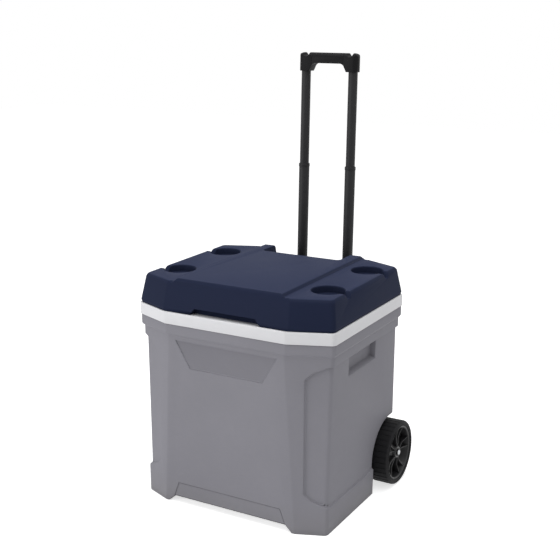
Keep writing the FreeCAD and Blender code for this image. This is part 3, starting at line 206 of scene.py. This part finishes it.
def only(piece):
    """Makes one piece the selected and the active one."""
    bpy.ops.object.select_all(action="DESELECT")
    piece.select_set(True)
    bpy.context.view_layer.objects.active = piece


def eased_copy(name, node, edge, material, body, eased=None):
    """The frame's own piece again, with its sharp edges eased by the size given. A rule, if there
    is one, gives each edge its share of that size."""
    flat_within, sharp_from = math.radians(0.6), math.radians(24)
    piece = bpy.data.objects.new(name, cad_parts[node].data.copy())
    bpy.context.collection.objects.link(piece)
    only(piece)
    bpy.ops.object.mode_set(mode="EDIT")
    bpy.ops.mesh.select_all(action="SELECT")
    bpy.ops.mesh.remove_doubles(threshold=0.00002)
    bpy.ops.mesh.dissolve_limited(angle_limit=flat_within)
    bpy.ops.object.mode_set(mode="OBJECT")
    if edge:
        sides = {}
        for face in piece.data.polygons:
            for key in face.edge_keys:
                sides.setdefault(key, []).append(face.normal.copy())
        weights = piece.data.attributes.new("bevel_weight_edge", "FLOAT", "EDGE")
        for line in piece.data.edges:
            normals = sides.get(line.key, [])
            if len(normals) != 2 or normals[0].angle(normals[1], 0.0) < sharp_from:
                continue
            ends = [piece.data.vertices[i].co for i in line.vertices]
            share = eased(ends[0], ends[1], normals[0] + normals[1]) if eased else 1.0
            weights.data[line.index].value = share
        bevel = piece.modifiers.new("eased", "BEVEL")
        bevel.width = edge
        bevel.segments = 3
        bevel.limit_method = "WEIGHT"
        bevel.use_clamp_overlap = False
        bpy.ops.object.modifier_apply(modifier="eased")
    bpy.ops.object.shade_smooth_by_angle(angle=math.radians(30))
    piece.data.materials.clear()
    piece.data.materials.append(material)
    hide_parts(node)
    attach(piece, body)
    return piece


grey_polyethylene = moulded_plastic("grey_polyethylene", "8a8990", 0.56, sheen=0.08, dust=0.35)
grey_textured = moulded_plastic("grey_polyethylene_textured", "828188", 0.64, sheen=0.08, grain=1.8)
shell = eased_copy("outer_shell_moulding", "outer_shell", 0.002, grey_polyethylene, "cooler")
shell.data.materials.append(grey_textured)
for face in shell.data.polygons:
    corners = [shell.data.vertices[i].co for i in face.vertices]
    on_panel = all(abs(c[0]) < 0.14 and 0.33 < c[2] < 0.43 for c in corners)
    if on_panel and face.normal[1] < -0.9 and face.area > 0.004:
        face.material_index = 1


# ---- foam core ----------------------------------------------------------------------------
# Rigid cream foam that is poured between shell and tub, where it rises and sets. It is only
# seen where the two are parted. Its cells are about a millimetre across.
def rigid_foam(name):
    """Rigid foam: small round cells, a skin of uneven tone, and deeper pores here and there."""
    material, tree, place = new_material(name)
    cells = shader_node(tree, "ShaderNodeTexVoronoi", Vector=place, Scale=850.0).outputs["Distance"]
    cloud = noise(tree, place, 22.0, 4.0)
    tone = mixed(tree, cloud, linear("cdb67d"), linear("e6d5a6"))
    pores = ranged(tree, cells, (0.0, 0.25), (0.6, 0.0))
    tone = mixed(tree, pores, tone, linear("a48c55"))
    surfaced(tree, tone, 0.85, bumped(tree, cells, 0.5, 0.0006), Specular_IOR_Level=0.2)
    return material


def finish(node, material):
    """Gives one of the frame's own pieces its finish."""
    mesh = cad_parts[node].data
    mesh.materials.clear()
    mesh.materials.append(material)


cream_foam = rigid_foam("cream_rigid_foam")
finish("foam_core", cream_foam)


# ---- tub and rim --------------------------------------------------------------------------
# The white liner is one moulding from the floor of the tub up to the rim and over it, where
# it shows outside as the pale band between body and lid. It is smoother than the shell.
white_polyethylene = moulded_plastic("white_polyethylene", "dfdfe2", 0.42, sheen=0.25, grain=1.4, scuff=0.25)
eased_copy("tub_and_rim_moulding", "inner_liner", 0.0012, white_polyethylene, "cooler")


# ---- drain --------------------------------------------------------------------------------
# A black nylon fitting passes through the left wall, with a rubber seal under its flange and
# a nut inside the tub. A cap with a finger bar and a knurled edge screws on its spout.
def seal_rubber_finish(name):
    """Soft black rubber with a dull bloom and a moulding line every few millimetres."""
    material, tree, place = new_material(name)
    bloom = noise(tree, place, 130.0, 4.0)
    rings = noise(tree, place, 900.0, 2.0)
    tone = mixed(tree, bloom, linear("151516"), linear("2b2b2d"))
    surfaced(tree, tone, 0.8, bumped(tree, rings, 0.2, 0.0002), Specular_IOR_Level=0.25)
    return material


def turned(name, outline, centre, axis, steps):
    """A round piece made on a lathe: an outline of (along, radius) steps swept round an axis."""
    centre, axis = Vector(centre), Vector(axis).normalized()
    across = axis.orthogonal().normalized()
    points = [centre + axis * along + across * radius for along, radius in outline]
    bpy.ops.object.select_all(action="DESELECT")
    bpy.ops.mesh.primitive_plane_add(size=0.001)
    piece = bpy.context.object
    piece.name = name
    bpy.ops.object.mode_set(mode="EDIT")
    bpy.ops.mesh.select_mode(type="VERT")
    bpy.ops.mesh.select_all(action="SELECT")
    bpy.ops.mesh.merge(type="CENTER")
    bpy.ops.transform.translate(value=points[0])
    for here, there in zip(points, points[1:]):
        bpy.ops.mesh.extrude_region_move(TRANSFORM_OT_translate={"value": there - here})
    bpy.ops.mesh.select_all(action="SELECT")
    bpy.ops.mesh.spin(steps=steps, angle=2 * math.pi, center=centre, axis=axis)
    bpy.ops.mesh.select_all(action="SELECT")
    bpy.ops.mesh.remove_doubles(threshold=0.000005)
    bpy.ops.mesh.normals_make_consistent(inside=False)
    bpy.ops.object.mode_set(mode="OBJECT")
    return piece


def joined(name, pieces):
    """Pieces that are moulded together, as one mesh."""
    bpy.ops.object.select_all(action="DESELECT")
    for piece in pieces:
        piece.select_set(True)
    bpy.context.view_layer.objects.active = pieces[0]
    bpy.ops.object.join()
    bpy.context.object.name = name
    return bpy.context.object


def pick_faces(piece, wanted):
    """Goes into edit mode with just the wanted faces of a piece selected."""
    only(piece)
    bpy.ops.object.mode_set(mode="EDIT")
    bpy.ops.mesh.select_mode(type="FACE")
    bpy.ops.mesh.select_all(action="DESELECT")
    bpy.ops.object.mode_set(mode="OBJECT")
    for face in piece.data.polygons:
        face.select = bool(wanted(face))
    bpy.ops.object.mode_set(mode="EDIT")


def settled(piece, material, body, node, edge=0.0):
    """Puts a piece's place into its mesh, eases its edges and gives it finish and body."""
    only(piece)
    bpy.ops.object.transform_apply(location=True, rotation=True, scale=True)
    if edge:
        bevel = piece.modifiers.new("eased", "BEVEL")
        bevel.width = edge
        bevel.segments = 2
        bevel.limit_method = "ANGLE"
        bevel.angle_limit = math.radians(30)
        bpy.ops.object.modifier_apply(modifier="eased")
    bpy.ops.object.shade_smooth_by_angle(angle=math.radians(32))
    piece.data.materials.clear()
    piece.data.materials.append(material)
    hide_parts(node)
    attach(piece, body)
    return piece


black_nylon = moulded_plastic("black_nylon", "121214", 0.5, sheen=0.1, grain=0.7, scuff=0.3)
seal_rubber = seal_rubber_finish("black_seal_rubber")
eased_copy("drain_fitting_moulding", "drain_fitting", 0.0006, black_nylon, "cooler")
eased_copy("drain_nut_moulding", "drain_nut", 0.0006, black_nylon, "cooler")
finish("drain_seal", seal_rubber)
finish("drain_cap_seal", seal_rubber)

low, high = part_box("drain_cap")
middle = (Vector(low) + Vector(high)) / 2
cap_radius = (high[2] - low[2]) / 2
face_x = low[0] + 0.005
cup = turned("drain_cap_cup", [
    (face_x, 0.0), (face_x, cap_radius - 0.0015), (face_x + 0.0015, cap_radius), (high[0], cap_radius),
    (high[0], cap_radius - 0.005), (face_x + 0.0038, cap_radius - 0.005), (face_x + 0.0038, 0.0)],
    (0, middle[1], middle[2]), (1, 0, 0), 96)


def on_knurl(face):
    """Every other strip of the cap's round edge."""
    out = Vector((0, face.center[1] - middle[1], face.center[2] - middle[2]))
    turn = math.degrees(math.atan2(out[2], out[1])) % 15.0
    return out.length > cap_radius - 0.0006 and turn < 7.5 and abs(face.normal[0]) < 0.2


pick_faces(cup, on_knurl)
bpy.ops.mesh.inset(thickness=0.0004, depth=-0.0006)
bpy.ops.object.mode_set(mode="OBJECT")
bpy.ops.mesh.primitive_cube_add(size=1, location=(low[0] + 0.003, middle[1], middle[2]))
bar = bpy.context.object
bar.dimensions = (0.006, 2 * cap_radius - 0.002, 0.005)
bpy.ops.object.mode_set(mode="EDIT")
bpy.ops.mesh.select_all(action="SELECT")
bpy.ops.mesh.subdivide(number_cuts=1)
bpy.ops.object.mode_set(mode="OBJECT")
only(bar)
bpy.ops.object.transform_apply(location=True, rotation=True, scale=True)
for vertex in bar.data.vertices:
    if abs(vertex.co[1] - middle[1]) < 0.001:
        vertex.co[2] = middle[2] + (vertex.co[2] - middle[2]) * 0.62
cap = joined("drain_cap_moulding", [cup, bar])
settled(cap, black_nylon, "drain_cap", "drain_cap", 0.0005)


# ---- handle housing -----------------------------------------------------------------------
# A tall black box on the back that takes in the tubes, with a tab down each side that is
# screwed to the shell. Its screws are zinc plated, with pan heads and a cross recess.
def zinc_steel(name, colour, rough):
    """Plated steel: fine drawn lines, a cloudy plating and a few duller spots."""
    material, tree, place = new_material(name)
    drawn = shader_node(tree, "ShaderNodeMapping", Vector=place, Scale=(30, 1500, 1500))
    lines = noise(tree, drawn.outputs[0], 1.0, 2.0)
    cloud = noise(tree, place, 160.0, 3.0)
    base = linear(colour)
    duller = [c * 0.8 for c in base[:3]] + [1]
    gloss = ranged(tree, lines, (0.0, 1.0), (rough - 0.08, rough + 0.12))
    surfaced(tree, mixed(tree, cloud, duller, base), gloss, bumped(tree, lines, 0.1, 0.0001), Metallic=1.0)
    return material


def cross_headed(name, node, out, body):
    """A set of pan-head screws, with the cross recess cut into each head."""
    out = Vector(out).normalized()
    screws = eased_copy(name, node, 0.0, zinc_plate, body)
    heads = [(face.center.copy(), face.normal.copy()) for face in screws.data.polygons
             if face.normal.dot(out) > 0.95 and face.area > 2e-5]
    length, width, depth = 0.0042, 0.0009, 0.0022
    cutters = []
    for centre, normal in heads:
        for size in ((length, width, depth), (width, length, depth)):
            bpy.ops.object.select_all(action="DESELECT")
            bpy.ops.mesh.primitive_cube_add(size=1, location=centre,
                                            rotation=normal.to_track_quat("Z", "Y").to_euler())
            bpy.context.object.scale = size
            bpy.ops.object.transform_apply(location=True, rotation=True, scale=True)
            cutters.append(bpy.context.object)
    cutter = joined("cross_driver", cutters)
    bpy.context.view_layer.objects.active = screws
    cut = screws.modifiers.new("cross", "BOOLEAN")
    cut.object = cutter
    cut.solver = "EXACT"
    cut.use_self = True
    bpy.ops.object.modifier_apply(modifier="cross")
    bpy.data.objects.remove(cutter)
    return screws


zinc_plate = zinc_steel("zinc_plated_steel", "b9bbbd", 0.34)
eased_copy("handle_housing_moulding", "handle_housing", 0.0015, black_nylon, "cooler")
eased_copy("guide_collar_rings", "guide_collars", 0.0008, black_nylon, "cooler")
cross_headed("housing_screw_set", "housing_screws", (0, 1, 0), "cooler")


# ---- hinges -------------------------------------------------------------------------------
# Two hinges of white plastic with knuckles that interlock, each on a steel pin. One leaf is
# screwed to the rim and the other to the back of the lid.
for node, body in (("hinge_body_leaves", "cooler"), ("hinge_lid_leaves", "lid")):
    eased_copy(node.replace("leaves", "leaf_pair"), node, 0.0004, white_polyethylene, body)
eased_copy("hinge_pin_pair", "hinge_pins", 0.0003, zinc_plate, "cooler")
cross_headed("hinge_body_screw_set", "hinge_body_screws", (0, 1, 0), "cooler")
cross_headed("hinge_lid_screw_set", "hinge_lid_screws", (0, 1, 0.15), "lid")


# ---- lid ----------------------------------------------------------------------------------
# A dark blue moulding with a raised middle, four shallow cup rests, a notch for the pull
# handle and one for the fingers. A white tray closes it below, with foam between the two.
blue_polyethylene = moulded_plastic("blue_polyethylene", "20263b", 0.56, sheen=0.04)
# Coarser grain, which is the moulding's own, in a lighter blue, which is painted light for the lid's top.
blue_grain_painted_light = moulded_plastic("blue_polyethylene_grain_painted_light", "2f354c", 0.66, sheen=0.04, grain=1.6)
lid_low, lid_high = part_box("lid_shell")


def outside_of_lid(start, end, out):
    """The whole edge size for the level edges of the lid's top, part of it for its other outside
    edges, and nothing at its foot or inside it."""
    middle = (start + end) / 2
    below = Vector((0, (lid_low[1] + lid_high[1]) / 2, lid_low[2] - 0.5))
    if min(start[2], end[2]) < lid_low[2] + 0.004 or out.dot(middle - below) < 0:
        return 0.0
    level = abs(start[2] - end[2]) < 0.001
    return 1.0 if level and middle[2] > lid_high[2] - 0.012 else 0.6


lid = eased_copy("lid_moulding", "lid_shell", 0.003, blue_polyethylene, "lid",
                 eased=outside_of_lid)
# The upward faces of the top get the coarser grain and a lighter blue: the grain is real, the lighter tone is
# painted light that the top catches.
lid.data.materials.append(blue_grain_painted_light)
for face in lid.data.polygons:
    if face.normal[2] > 0.9 and face.center[2] > lid_high[2] - 0.008:
        face.material_index = 1
eased_copy("lid_tray_moulding", "lid_liner", 0.001, white_polyethylene, "lid")
finish("lid_foam", cream_foam)


# ---- axle ---------------------------------------------------------------------------------
# A bright steel rod across the back of the floor, held up by two clips with two screws each.
# Nylon washers keep the wheels off the shell, and a dark push-on cap holds each one on.
dark_steel = zinc_steel("blackened_steel", "3a3a3c", 0.45)
eased_copy("axle_rod", "axle", 0.0016, zinc_plate, "cooler")
eased_copy("axle_clip_mouldings", "axle_clips", 0.0008, black_nylon, "cooler")
eased_copy("axle_push_caps", "axle_caps", 0.0008, dark_steel, "cooler")
cross_headed("axle_clip_screw_set", "axle_clip_screws", (0, 0, -1), "cooler")
warm_nylon = moulded_plastic("natural_nylon", "d6d2c4", 0.4, sheen=0.4, grain=0.6, scuff=0.2)
finish("wheel_washers", warm_nylon)
finish("wheel_right_bush", warm_nylon)
finish("wheel_left_bush", warm_nylon)


# ---- wheels -------------------------------------------------------------------------------
# A hard black centre with a dished web and ten thin ribs in pairs, in a tyre of softer
# plastic with a shallow tread. The left wheel is the right one turned round.
wheel_plastic = moulded_plastic("black_wheel_plastic", "1c1c1e", 0.4, sheen=0.45, grain=0.7, scuff=0.4)
tyre_plastic = moulded_plastic("black_tyre_plastic", "19191b", 0.62, sheen=0.14, grain=0.5, scuff=0.6)
low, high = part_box("wheel_right_tyre")
inner_x, outer_x = low[0], high[0]
axis_y, axis_z = (low[1] + high[1]) / 2, (low[2] + high[2]) / 2
tread_radius = (high[2] - low[2]) / 2
low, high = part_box("wheel_right_hub")
rim_radius = (high[2] - low[2]) / 2
low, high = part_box("wheel_right_bush")
bore = (high[2] - low[2]) / 2
hub_inner_x, hub_outer_x = low[0], high[0]
wheel_middle = (0, axis_y, axis_z)

tyre = turned("tyre", [
    (inner_x, rim_radius), (inner_x, tread_radius - 0.006), (inner_x + 0.001, tread_radius - 0.003),
    (inner_x + 0.003, tread_radius - 0.0008), (inner_x + 0.006, tread_radius),
    (outer_x - 0.006, tread_radius), (outer_x - 0.003, tread_radius - 0.0008),
    (outer_x - 0.001, tread_radius - 0.003), (outer_x, tread_radius - 0.006),
    (outer_x - 0.0014, tread_radius - 0.0075), (outer_x - 0.0014, rim_radius + 0.003),
    (outer_x, rim_radius + 0.0022), (outer_x, rim_radius + 0.0008),
    (outer_x - 0.0012, rim_radius), (inner_x, rim_radius)], wheel_middle, (1, 0, 0), 180)


def on_tread_groove(face):
    """One narrow strip of the tread in every ten degrees."""
    out = Vector((0, face.center[1] - axis_y, face.center[2] - axis_z))
    turn = math.degrees(math.atan2(out[2], out[1])) % 10.0
    return out.length > tread_radius - 0.0008 and turn < 2.0 and abs(face.normal[0]) < 0.4


pick_faces(tyre, on_tread_groove)
bpy.ops.mesh.inset(thickness=0.0003, depth=-0.0009)
bpy.ops.object.mode_set(mode="OBJECT")

web_x = (inner_x + outer_x) / 2
barrel = turned("barrel", [
    (inner_x + 0.002, rim_radius), (outer_x - 0.002, rim_radius), (outer_x - 0.002, rim_radius - 0.0025),
    (outer_x - 0.004, rim_radius - 0.004), (web_x + 0.004, rim_radius - 0.006),
    (web_x + 0.006, 0.020), (hub_outer_x - 0.008, 0.0145), (hub_outer_x, 0.0135),
    (hub_outer_x, bore), (hub_inner_x, bore), (hub_inner_x, 0.0135), (web_x - 0.001, 0.018),
    (web_x, rim_radius - 0.006), (inner_x + 0.004, rim_radius - 0.004),
    (inner_x + 0.002, rim_radius - 0.0025), (inner_x + 0.002, rim_radius)], wheel_middle, (1, 0, 0), 120)
ribs = []
rib_start, rib_end = 0.0145, rim_radius - 0.003
for pair in range(5):
    for side in (-1, 1):
        bpy.ops.object.select_all(action="DESELECT")
        bpy.ops.mesh.primitive_cube_add(size=1)
        rib = bpy.context.object
        rib.scale = (0.018, 0.0024, rib_end - rib_start)
        rib.location = (outer_x - 0.007 - 0.009, axis_y, axis_z + (rib_start + rib_end) / 2)
        bpy.ops.object.transform_apply(location=True, rotation=True, scale=True)
        bpy.ops.object.mode_set(mode="EDIT")
        bpy.ops.mesh.select_all(action="SELECT")
        bpy.ops.mesh.bisect(plane_co=(0, 0, axis_z + 0.038), plane_no=(0, 0, 1))
        bpy.ops.mesh.select_all(action="DESELECT")
        bpy.ops.object.mode_set(mode="OBJECT")
        for vertex in rib.data.vertices:
            reach = vertex.co[2] - axis_z
            if vertex.co[0] > outer_x - 0.010:
                vertex.co[0] = outer_x - (0.0075 if reach < 0.02 else 0.0105 if reach < 0.05 else 0.0045)
                vertex.co[1] = axis_y + (vertex.co[1] - axis_y) * 0.7
        bpy.ops.object.mode_set(mode="EDIT")
        bpy.ops.mesh.select_all(action="SELECT")
        bpy.ops.transform.rotate(value=math.radians(side * 13), orient_axis="X",
                                 center_override=(0, axis_y, axis_z + 0.006))
        bpy.ops.transform.rotate(value=math.radians(12 + 72 * pair), orient_axis="X",
                                 center_override=wheel_middle)
        bpy.ops.object.mode_set(mode="OBJECT")
        ribs.append(rib)
hub = joined("hub", [barrel] + ribs)

for side in ("right", "left"):
    for start, word, node, finish_of, slot, edge in (
            (tyre, "tyre_ring", "tyre", tyre_plastic, "tyre", 0.0),
            (hub, "wheel_centre", "hub", wheel_plastic, "wheel_plastic", 0.0004)):
        piece = bpy.data.objects.new(f"{side}_{word}", start.data.copy())
        bpy.context.collection.objects.link(piece)
        if side == "left":
            only(piece)
            bpy.ops.object.mode_set(mode="EDIT")
            bpy.ops.mesh.select_all(action="SELECT")
            bpy.ops.transform.resize(value=(-1, 1, 1), center_override=(0, 0, 0))
            bpy.ops.mesh.normals_make_consistent(inside=False)
            bpy.ops.object.mode_set(mode="OBJECT")
        settled(piece, finish_of, f"wheel_{side}", f"wheel_{side}_{node}", edge)
bpy.data.objects.remove(tyre)
bpy.data.objects.remove(hub)


# ---- pull handle tubes --------------------------------------------------------------------
# Two aluminium tubes on each side, one sliding in the other, drawn and anodised black. A
# thin collar closes the lower ones at the top, and a yoke ties their feet in the housing.
def anodised_tube(name):
    """Black anodised aluminium: drawn lines along the tube, satin sheen and rubbed streaks."""
    material, tree, place = new_material(name)
    drawn = shader_node(tree, "ShaderNodeMapping", Vector=place, Scale=(1400, 1400, 14))
    lines = noise(tree, drawn.outputs[0], 1.0, 2.0)
    cloud = noise(tree, place, 40.0, 4.0)
    tone = mixed(tree, cloud, linear("171719"), linear("202022"))
    streak = ranged(tree, lines, (0.62, 0.78), (0.0, 0.3))
    tone = mixed(tree, streak, tone, linear("3a3a3d"))
    gloss = ranged(tree, cloud, (0.0, 1.0), (0.46, 0.56))
    surfaced(tree, tone, gloss, bumped(tree, lines, 0.06, 0.0001), Specular_IOR_Level=0.25)
    return material


black_anodised = anodised_tube("black_anodised_aluminium")
for stage in ("lower", "upper"):
    for side in ("left", "right"):
        eased_copy(f"{stage}_{side}_handle_tube", f"{stage}_tube_{side}", 0.0003, black_anodised,
                   f"{stage}_stage")
satin_nylon = moulded_plastic("satin_black_nylon", "1e1e20", 0.5, sheen=0.2, grain=0.7, scuff=0.3)
eased_copy("stage_collar_rings", "stage_collars", 0.0002, satin_nylon, "lower_stage")
eased_copy("lower_yoke_moulding", "lower_yoke", 0.0008, black_nylon, "lower_stage")
cross_headed("yoke_screw_set", "yoke_screws", (1, 0, 0), "lower_stage")
finish("upper_tube_plugs", warm_nylon)


# ---- grip ---------------------------------------------------------------------------------
# Two black brackets on the tube ends hold a hand bar of two halves, closed from the back by
# sunk screws. The brackets have a round groove across the top beside the bar.
for side in ("left", "right"):
    eased_copy(f"{side}_grip_bracket_moulding", f"grip_bracket_{side}", 0.0008, black_nylon, "upper_stage")
for face in ("front", "back"):
    eased_copy(f"hand_bar_{face}_half", f"grip_{face}", 0.0006, black_nylon, "upper_stage")
cross_headed("grip_screw_set", "grip_screws", (0, 1, 0), "upper_stage")
